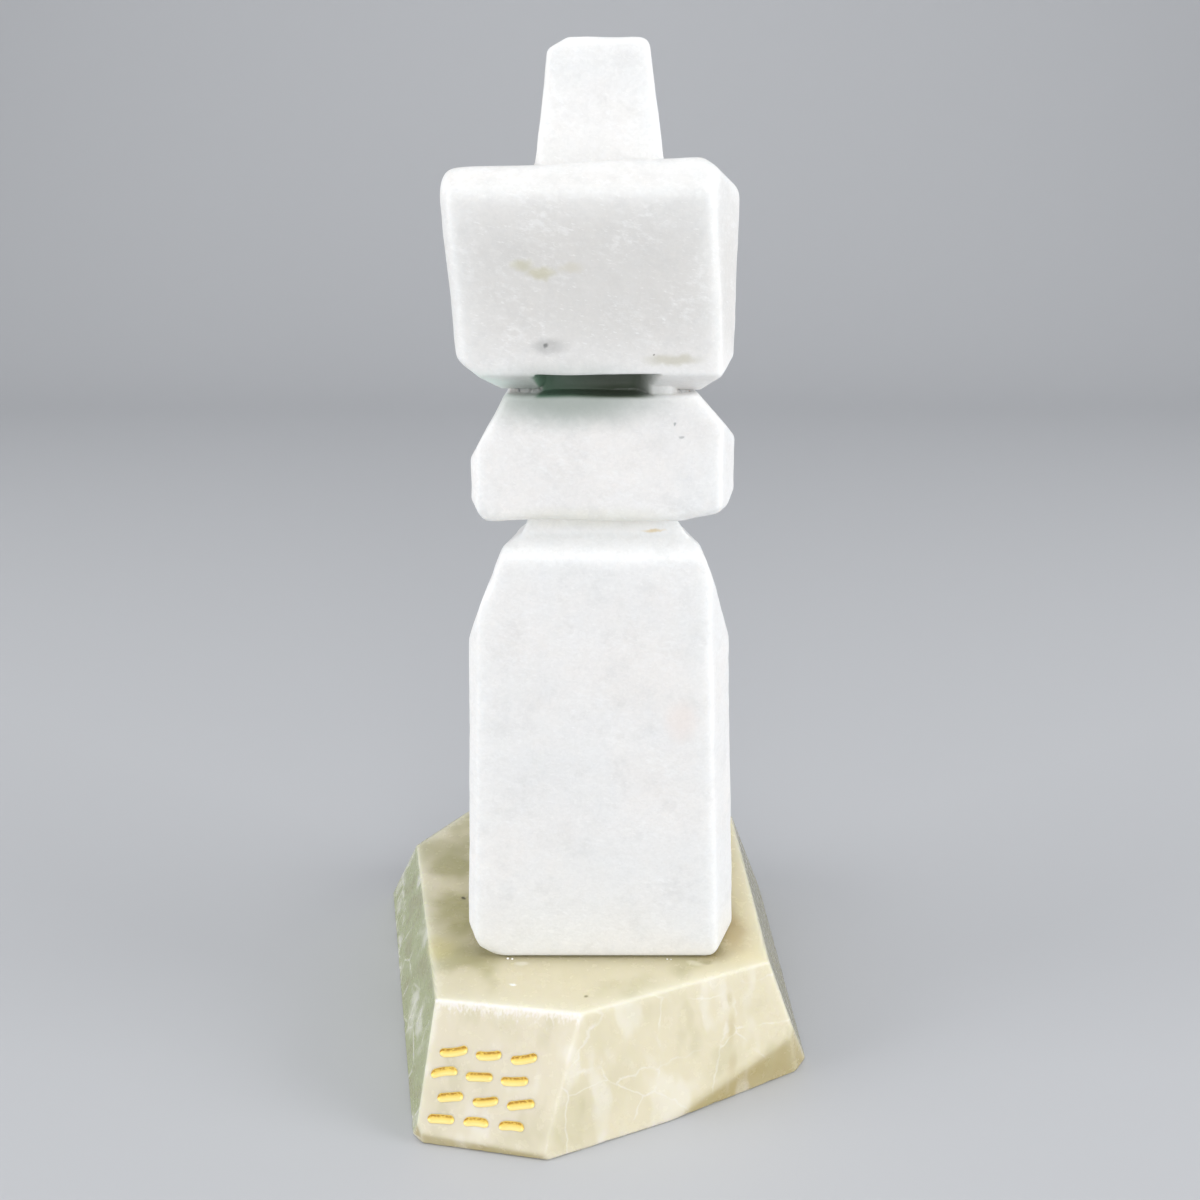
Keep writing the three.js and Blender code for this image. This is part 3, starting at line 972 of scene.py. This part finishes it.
class Graph:
    """A material's nodes, with one short call for each kind, and its colour so far. Places are in mm."""

    def __init__(self, name: str, colour: Value) -> None:
        self.material = bpy.data.materials.new(name)
        self.material.use_nodes = True
        self.tree = self.material.node_tree
        place = self.tree.nodes.new("ShaderNodeTexCoord").outputs["Object"]
        self.place = self.vector("SCALE", place, scale=1 / MM)
        self.colour = colour

    def plug(self, socket: Socket, value: Value) -> None:
        """Links a socket to an output, or sets its plain value, where a colour is opaque."""
        if isinstance(value, Socket):
            self.tree.links.new(value, socket)
        else:
            socket.default_value = (*value, 1.0) if socket.type == "RGBA" else value

    def node(self, kind: str, inputs: dict[str | int, Value], **settings: object) -> bpy.types.Node:
        """Adds one node.

        Args:
            kind: its type, without the common start.
            inputs: what goes into its sockets, by name or number.
            **settings: its own settings.

        Returns:
            The node.
        """
        node = self.tree.nodes.new("ShaderNode" + kind)
        for name, value in settings.items():
            setattr(node, name, value)
        for name, value in inputs.items():
            self.plug(node.inputs[name], value)
        return node

    def vector(self, operation: str, a: Value, b: Value | None = None, scale: float = 1.0) -> Socket:
        """One step of vector arithmetic."""
        node = self.node("VectorMath", {0: a, 3: scale} if b is None else {0: a, 1: b}, operation=operation)
        return node.outputs["Value" if operation == "LENGTH" else "Vector"]

    def math(self, operation: str, a: Value, b: Value = 0.0, c: Value = 0.0) -> Socket:
        """One step of arithmetic."""
        return self.node("Math", {0: a, 1: b, 2: c}, operation=operation).outputs[0]

    def scaled(self, value: Value, by: float, plus: Value) -> Socket:
        """A number times another one, plus a third."""
        return self.math("MULTIPLY_ADD", value, by, plus)

    def noise(self, size: float, detail: float = 4.0, place: Value | None = None,
              rough: float = 0.55) -> Socket:
        """Soft noise with features of a size in millimetres, from 0 to 1."""
        inputs = {"Vector": place or self.place, "Scale": 1 / size, "Detail": detail, "Roughness": rough}
        return self.node("TexNoise", inputs).outputs["Fac"]

    def wobble(self, size: float, by: float, detail: float = 0.5) -> Socket:
        """The place, pushed about by soft noise of a size, by up to so many millimetres."""
        noise = self.node("TexNoise", {"Vector": self.place, "Scale": 1 / size, "Detail": detail})
        push = self.vector("SUBTRACT", noise.outputs["Color"], (0.5, 0.5, 0.5))
        return self.vector("ADD", self.place, self.vector("SCALE", push, scale=2 * by))

    def veins(self, size: float, width: float, place: Value) -> Socket:
        """Thin lines between cells of a size, from 0 beside them to 1; the width is a share of the size."""
        cells = self.node("TexVoronoi", {"Vector": place, "Scale": 1 / size}, feature="DISTANCE_TO_EDGE")
        return self.band(cells.outputs["Distance"], width, 0.0)

    def cells(self, size: float) -> Socket:
        """Cells of a size in millimetres, each with a number of its own from 0 to 1."""
        cells = self.node("TexVoronoi", {"Vector": self.place, "Scale": 1 / size})
        return self.node("SeparateColor", {0: cells.outputs["Color"]}).outputs[0]

    def band(self, value: Value, start: float, stop: float) -> Socket:
        """A soft step from 0 at the start to 1 at the stop."""
        node = self.node("MapRange", {"Value": value, "From Min": start, "From Max": stop},
                         interpolation_type="SMOOTHSTEP")
        return node.outputs["Result"]

    def axis(self, name: str) -> Socket:
        """One coordinate of the place, in millimetres."""
        return self.node("SeparateXYZ", {0: self.place}).outputs[name]

    def turned(self, degrees: Triple, longer: Triple) -> Socket:
        """The place for grain that runs one way: so many times longer along each of the turned axes."""
        turn = tuple(math.radians(d) for d in degrees)
        inputs = {"Vector": self.place, "Rotation": turn, "Scale": longer}
        return self.node("Mapping", inputs, vector_type="TEXTURE").outputs[0]

    def attribute(self, name: str) -> Socket:
        """A number that the mesh holds at each point."""
        return self.node("Attribute", {}, attribute_name=name).outputs["Fac"]

    def bump(self, height: Value, depth: float, **under: Value) -> Socket:
        """A fine relief of a depth in millimetres, over another one that is its Normal."""
        inputs = {"Height": height, "Distance": depth * MM, "Strength": 1.0, **under}
        return self.node("Bump", inputs).outputs["Normal"]

    def blend(self, share: Value, a: Value, b: Value) -> Socket:
        """The first colour, with a share of the second."""
        return self.node("Mix", {0: share, 6: a, 7: b}, data_type="RGBA").outputs[2]

    def lay(self, tint: Value, *shares: Value) -> None:
        """Lays a tint over the colour so far, by the product of the shares."""
        total = shares[0]
        for share in shares[1:]:
            total = self.math("MULTIPLY", total, share)
        self.colour = self.blend(total, self.colour, tint)

    def finish(self, **inputs: Value) -> Material:
        """Sets the shader's colour and its other sockets, named with _ for each space.

        Returns:
            The material.
        """
        shader = self.tree.nodes["Principled BSDF"]
        for name, value in {"Base_Color": self.colour, **inputs}.items():
            self.plug(shader.inputs[name.replace("_", " ")], value)
        return self.material


@dataclass(frozen=True)
class Mark:
    """A stain, speck, cloud or patch of painted light or shade at one place in the stone, in the part's
    frame and millimetres.
    """

    centre: Triple
    size: Triple
    colour: Triple
    strength: float

    def lay(self, graph: Graph, place: Socket) -> None:
        """Lays the mark over the colour so far, measured at a place that may be ragged."""
        off = graph.vector("DIVIDE", graph.vector("SUBTRACT", place, self.centre), self.size)
        graph.lay(self.colour, graph.band(graph.vector("LENGTH", off), 1.0, 0.25), self.strength)


@dataclass(frozen=True)
class MarbleFinish:
    """White marble, honed: sugary crystals, faint clouding and a few marks, with light and shade painted on
    some stones, and light goes a little way in.
    """

    cool: Triple = (0.86, 0.86, 0.855)
    warm: Triple = (0.89, 0.87, 0.85)
    edge: Triple = (0.93, 0.945, 0.94)
    grey: Triple = (0.6, 0.6, 0.59)
    white: Triple = (0.96, 0.96, 0.955)
    slot_shade_left: Triple = (0.15, 0.25, 0.18)
    slot_shade_right: Triple = (0.11, 0.14, 0.1)
    light_and_shade: tuple[Mark, ...] = (
        # Painted shade: the upper stone is greyer, as its front faces a little down.
        Mark((5.5, -5.8, 208.0), (64, 200, 30), (0.7, 0.685, 0.66), 0.85),
        # Painted highlight: the body's top bevel is whitened.
        Mark((6.0, -26.0, 146.5), (44, 14, 6.0), (1.0, 1.0, 0.995), 1.0),
        # Painted shade: the waist, under the middle stone, is darker and a little warmer.
        Mark((5.0, -24.0, 153.5), (34, 14, 4.5), (0.8, 0.79, 0.7), 0.7),
    )
    marks: tuple[Mark, ...] = (
        # Painted shade on the middle stone's top front, under the upper stone.
        Mark((-0.5, -26.5, 182.5), (29, 10, 10), (0.36, 0.41, 0.37), 0.82),
        # Painted glow: the shaded lobe at the slot's left end is lightened, pale green.
        Mark((-20.5, -25.0, 185.0), (11, 9, 5), (0.84, 0.96, 0.9), 0.85),
        Mark((-9.4, -30.9, 210.2), (3.2, 6, 1.7), (0.56, 0.54, 0.36), 0.5),
        Mark((-5.6, -30.9, 208.6), (4.2, 6, 1.8), (0.56, 0.53, 0.34), 0.55),
        Mark((0.5, -30.9, 209.6), (3.5, 6, 1.6), (0.64, 0.6, 0.46), 0.35),
        Mark((-4.7, -30.2, 194.0), (0.75, 3, 0.75), (0.05, 0.055, 0.05), 0.95),
        Mark((-4.2, -30.2, 193.6), (5.2, 5, 2.6), (0.42, 0.42, 0.41), 0.5),
        Mark((18.1, -30.1, 191.7), (0.35, 3, 0.4), (0.2, 0.19, 0.16), 0.85),
        Mark((22.5, -30.1, 190.6), (8.0, 5, 1.7), (0.52, 0.49, 0.36), 0.5),
        Mark((26.5, -26.5, 102.2), (5.5, 6, 7.5), (0.88, 0.74, 0.68), 0.28),
        Mark((19.4, -21.8, 149.6), (3.4, 5, 0.6), (0.72, 0.57, 0.32), 0.75),
        Mark((23.7, -25.8, 175.9), (0.4, 3, 0.6), (0.32, 0.34, 0.34), 0.7),
        Mark((24.9, -25.9, 173.0), (0.6, 3, 0.5), (0.38, 0.39, 0.39), 0.6),
    )

    def material(self) -> Material:
        """Builds the material."""
        graph = Graph("white_marble", self.cool)
        lay, band, noise = graph.lay, graph.band, graph.noise
        lay(self.warm, band(noise(34.0, 3.0), 0.35, 0.65))
        # Lays the painted light and shade.
        for mark in self.light_and_shade:
            mark.lay(graph, graph.place)
        # Painted glow: the marble is lightened near its strong edges.
        lay(self.edge, graph.attribute("rim"), 0.5)
        lay(self.grey, band(noise(6.0, 6.0, rough=0.7), 0.45, 0.75), 0.26)
        pale = band(noise(11.0, 4.0, graph.wobble(5.0, 3.0)), 0.42, 0.66)
        sugar = noise(1.6, 5.0, graph.turned((0, 14, 0), (1.6, 1.6, 0.8)), 0.7)
        lay(self.white, graph.scaled(pale, 0.75, 0.15), band(sugar, 0.45, 0.66), 0.5)
        grain = graph.cells(0.6)
        lay(self.grey, grain, 0.13)
        flecks = noise(0.7, 3.0, graph.turned((0, 14, 0), (2.2, 2.2, 0.7)))
        lay(self.white, band(flecks, 0.6, 0.74), 0.45)
        ragged = graph.wobble(2.2, 0.9, 3.0)
        for mark in self.marks:
            mark.lay(graph, ragged)
        # Painted shade: the inside of the slot is darkened, greener toward its left end.
        across = graph.axis("X")
        dark = graph.blend(band(across, -9.0, 10.0), self.slot_shade_left, self.slot_shade_right)
        lay(dark, graph.attribute("slot_shade"), band(across, 21.0, 14.0))
        relief = graph.bump(noise(1.6, 4.0), 0.05)
        return graph.finish(Roughness=graph.scaled(grain, 0.14, 0.4), IOR=1.49,
                            Normal=graph.bump(grain, 0.012, Normal=relief), Subsurface_Weight=0.6,
                            Subsurface_Radius=(1.0, 0.94, 0.88), Subsurface_Scale=2.4 * MM)


@dataclass(frozen=True)
class BaseStoneFinish:
    """Pale green stone, polished and cloudy: olive clouding, white veins and streaks, tan and dark marks,
    with painted shade on its flanks, its low facets and around the figure, and painted highlights on its
    edges.
    """

    cream: Triple = (0.77, 0.71, 0.53)
    rosy: Triple = (0.76, 0.7, 0.545)
    top: Triple = (0.74, 0.68, 0.49)
    yellow: Triple = (0.88, 0.78, 0.5)
    olive: Triple = (0.45, 0.42, 0.22)
    sage: Triple = (0.38, 0.42, 0.21)
    dark: Triple = (0.28, 0.27, 0.19)
    low: Triple = (0.46, 0.38, 0.18)
    shade: Triple = (0.3, 0.27, 0.14)
    light: Triple = (0.88, 0.86, 0.7)
    white: Triple = (0.92, 0.9, 0.84)
    bruise_and_highlight: Triple = (0.95, 0.91, 0.91)
    marks: tuple[Mark, ...] = (
        Mark((-37, -23.7, 33), (7, 7, 4), (0.68, 0.61, 0.26), 0.5),
        # Painted shade on the top beside the figure's left side, here and in the next mark.
        Mark((-33, -12, 33), (9, 20, 5), (0.4, 0.37, 0.18), 0.4),
        Mark((-32, 22, 33), (17, 12, 5), (0.4, 0.38, 0.19), 0.45),
        Mark((43, -16, 33), (6, 13, 4), (0.5, 0.38, 0.18), 0.6),
        # Painted shadow at the figure's lower right corner.
        Mark((37, -26, 33), (7, 4.5, 4), (0.36, 0.29, 0.13), 0.7),
        Mark((31.5, -30.5, 33), (2.6, 1.4, 2), (0.86, 0.83, 0.68), 0.4),
        Mark((34.9, -29.7, 33), (2.4, 1.3, 2), (0.36, 0.32, 0.18), 0.6),
        Mark((-14.2, -30.6, 33), (2.4, 1.1, 1.5), (0.86, 0.84, 0.76), 0.45),
        Mark((40.4, -41, 26.5), (1.3, 8, 3.0), (0.5, 0.43, 0.2), 0.55),
        Mark((41.2, -41, 19), (1.7, 8, 5.5), (0.56, 0.48, 0.25), 0.5),
        Mark((41.6, -44, 10), (2.2, 8, 4), (0.62, 0.52, 0.3), 0.4),
        Mark((3.5, -43, 33), (1.0, 0.7, 1.5), (0.26, 0.23, 0.1), 0.9),
        Mark((-32.4, -1.9, 33), (0.9, 0.9, 1.5), (0.1, 0.09, 0.05), 0.95),
        Mark((-15.6, -38.5, 33), (1.6, 0.6, 1.5), (0.99, 0.99, 0.98), 0.95),
    )

    def cloud(self, graph: Graph) -> None:
        """Lays a colour on each face, partly the stone's own and partly painted shade, with its olive
        clouding.
        """
        lay, band, attribute = graph.lay, graph.band, graph.attribute
        across, top = graph.axis("X"), attribute("top")
        lay(self.rosy, attribute("front_left"))
        lay(self.top, top)
        lay(self.yellow, band(across, 20.0, 50.0), top, 0.8)
        cloud = graph.noise(17.0, 2.0, graph.wobble(14.0, 2.0))
        # Olive clouding on the top, thicker to the left of the figure: partly the stone's own, partly
        # painted shade.
        ahead = band(graph.axis("Y"), -46.0, -26.0)
        leftward = graph.math("MULTIPLY", band(across, -8.0, -36.0), ahead)
        thick = graph.scaled(leftward, 0.24, cloud)
        lay(self.olive, band(thick, 0.56, 0.84), top, 0.85)
        lay(self.olive, band(cloud, 0.45, 0.75), 0.2)
        lay(self.shade, attribute("beside"), top, 0.6)
        lay(self.light, attribute("glow"), top, 0.6)
        # Painted shade over the stone's own green and grey-green: the left face greener, the right and back
        # faces darker.
        lay(self.sage, attribute("left"), 0.95)
        lay(self.dark, attribute("side"), 0.95)
        # Painted shade: the low facets, which face down, are darker and browner.
        patches = graph.scaled(band(cloud, 0.35, 0.6), 0.2, 0.75)
        lay(self.low, attribute("low"), patches)

    def vein(self, graph: Graph) -> None:
        """Lays the dark and white streaks on the flanks, and the veins and columns on the front."""
        lay, band, noise = graph.lay, graph.band, graph.noise
        left = graph.attribute("left")
        flanks = graph.math("ADD", left, graph.attribute("side"))
        sweep = graph.turned((40, 0, 0), (1.0, 1.0, 4.5))
        streaks = noise(9.0, 2.0, sweep)
        lay(self.shade, band(streaks, 0.48, 0.34), flanks, 0.45)
        lay(self.white, band(streaks, 0.52, 0.66), left, 0.5)
        lay(self.white, graph.veins(9.0, 0.05, sweep), band(graph.axis("Z"), 28.0, 10.0),
            band(noise(7.0, 2.0, sweep), 0.42, 0.55), left, 0.6)
        front = graph.math("SUBTRACT", 1.0, graph.math("ADD", graph.attribute("top"), flanks))
        bare = graph.math("MAXIMUM", graph.attribute("low"), graph.attribute("front_left"))
        lay(self.white, graph.veins(17.0, 0.022, graph.wobble(5.0, 1.8, 3.0)),
            band(noise(9.0, 2.0), 0.4, 0.6), graph.math("SUBTRACT", front, bare), 0.45)
        columns = noise(8.0, 2.0, graph.turned((0, 0, 0), (1.0, 1.0, 3.0)))
        lay(self.olive, band(columns, 0.46, 0.32), front, 0.22)
        lay(self.white, band(columns, 0.52, 0.68), front, 0.38)

    def material(self) -> Material:
        """Builds the material."""
        graph = Graph("pale_green_stone", self.cream)
        self.cloud(graph)
        self.vein(graph)
        ragged = graph.wobble(4.0, 1.0)
        for mark in self.marks:
            mark.lay(graph, ragged)
        front_left, height = graph.attribute("front_left"), graph.axis("Z")
        comb = graph.noise(0.7, 3.0, graph.turned((0, 0, 0), (1.0, 1.0, 5.0)))
        graph.lay(self.bruise_and_highlight, graph.band(graph.scaled(comb, 10.0, height), 35.0, 38.0), front_left, 0.6)
        # Painted highlight: a pale line along the top edge of the front left face, and a paler rim on every
        # strong edge.
        rim = graph.attribute("rim")
        graph.lay(self.bruise_and_highlight, rim, front_left, graph.band(height, 31.8, 32.6), 0.7)
        graph.lay(self.white, rim, 0.35)
        return graph.finish(Roughness=graph.scaled(graph.noise(3.0), 0.16, 0.18), IOR=1.55,
                            Normal=graph.bump(graph.noise(2.5, 4.0), 0.03), Subsurface_Weight=0.5,
                            Subsurface_Radius=(0.9, 1.0, 0.6), Subsurface_Scale=3.0 * MM)


@dataclass(frozen=True)
class GiltFinish:
    """Gold paint, thick and bright in the cuts, with brown at their upper edge, where it is thin and painted
    shade falls, and a painted highlight on their lower side.
    """

    gold: Triple = (0.98, 0.74, 0.17)
    pale: Triple = (1.0, 0.86, 0.42)
    brown: Triple = (0.48, 0.22, 0.03)

    def material(self) -> Material:
        """Builds the material."""
        graph = Graph("gilding", self.gold)
        upper = graph.attribute("upper")
        # Painted highlight: the lower side of each stroke is paler.
        graph.lay(self.pale, graph.band(upper, 0.2, -0.8), 0.7)
        # Brown along the upper edge: thin paint there, and painted shade under the cut's upper wall.
        graph.lay(self.brown, graph.band(upper, -0.1, 0.6), graph.band(upper, 1.0, 0.8),
                  graph.band(graph.noise(0.8, 4.0), 0.35, 0.55), 0.9)
        relief = graph.bump(graph.noise(0.5, 3.0), 0.05)
        return graph.finish(Roughness=0.45, Metallic=0.25, Normal=relief)


def plain_material(name: str, colour: Triple, roughness: float) -> Material:
    """A finish of one colour, for the floor and the glue."""
    return Graph(name, colour).finish(Roughness=roughness)


# The studio

@dataclass(frozen=True)
class Studio:
    """The camera as the photograph was taken, a pale floor and soft lights; the last two are in metres."""

    focal: float = 1108.0
    frame_width: float = 1200.0
    sensor: float = 36.0
    pitch: float = 20.76
    back: float = 267.4
    height: float = 226.7
    reach: float = 1.6
    sweep: float = 0.6
    rear: float = 0.9
    wall: float = 2.2
    floor_points: int = 9
    sweep_points: int = 17
    floor_colour: Triple = (0.55, 0.56, 0.58)
    floor_roughness: float = 0.6
    sky: tuple[float, ...] = (0.95, 0.97, 1.0, 1.0)
    sky_strength: float = 0.45
    aim: Triple = (0.0, 0.0, 0.12)

    LIGHTS = {
        "above": ((0.0, -0.25, 1.6), (1.0, 0.8), 5.6),
        "left": ((-1.2, -0.3, 0.5), (0.6, 1.0), 8.0),
        "right": ((1.2, -0.3, 0.5), (0.6, 1.0), 9.0),
        "front": ((0.1, -1.6, 0.5), (1.0, 0.8), 7.2),
    }

    def camera(self, axis: Array) -> None:
        """Sets the camera in front of the figure's axis."""
        data = bpy.data.cameras.new("camera")
        data.sensor_width = self.sensor
        data.lens = self.sensor * self.focal / self.frame_width
        data.clip_start = 0.01
        camera = placed("camera", data)
        camera.location = (axis[0] * MM, (axis[1] - self.back) * MM, self.height * MM)
        camera.rotation_euler = (math.radians(90 - self.pitch), 0, 0)
        bpy.context.scene.camera = camera

    def floor(self) -> None:
        """Lays the floor, which sweeps up behind the part."""
        x = np.linspace(-self.reach, self.reach, self.floor_points)
        turn = np.linspace(0, math.pi / 2, self.sweep_points)
        y = np.concatenate([[-self.reach], self.rear + self.sweep * np.sin(turn), [self.rear + self.sweep]])
        z = np.concatenate([[0.0], self.sweep * (1 - np.cos(turn)), [self.wall]])
        points = np.stack([np.tile(x, len(y)), np.repeat(y, len(x)), np.repeat(z, len(x))], axis=1)
        here = np.arange(len(points)).reshape(len(y), len(x))
        faces = between(here[:, :-1], here[:, 1:]).tolist()
        finish = plain_material("floor", self.floor_colour, self.floor_roughness)
        floor = smooth("floor", points, faces, finish)

    def lights(self) -> None:
        """Lights the part evenly, a little more from above and both sides, with its plain colours kept.

        Each light is a soft rectangle with its place, its width and height, and its power in watts.
        """
        for name, (place, size, power) in self.LIGHTS.items():
            data = bpy.data.lights.new(name, "AREA")
            data.shape = "RECTANGLE"
            data.size, data.size_y = size
            data.energy = power
            lamp = placed(name, data)
            lamp.location = place
            lamp.rotation_euler = (Vector(self.aim) - Vector(place)).to_track_quat("-Z", "Y").to_euler()
        world = bpy.data.worlds.new("studio")
        world.use_nodes = True
        sky = world.node_tree.nodes["Background"].inputs
        sky["Color"].default_value = self.sky
        sky["Strength"].default_value = self.sky_strength
        bpy.context.scene.world = world
        bpy.context.scene.view_settings.view_transform = "Standard"


def main() -> None:
    """Builds the sculpture and its studio."""
    logging.basicConfig(level=logging.INFO, format="%(name)s: %(message)s")
    figure = MarbleFigure(MarbleFinish().material())
    axis = figure.build()
    base = StoneBase(BaseStoneFinish().material(), GiltFinish().material())
    base.build(lambda points: figure.beside_foot(points - axis))
    GlueSpecks(plain_material("glue", (0.93, 0.93, 0.9), 0.2)).build()
    studio = Studio()
    studio.camera(axis)
    studio.floor()
    studio.lights()


if __name__ == "__main__":
    main()
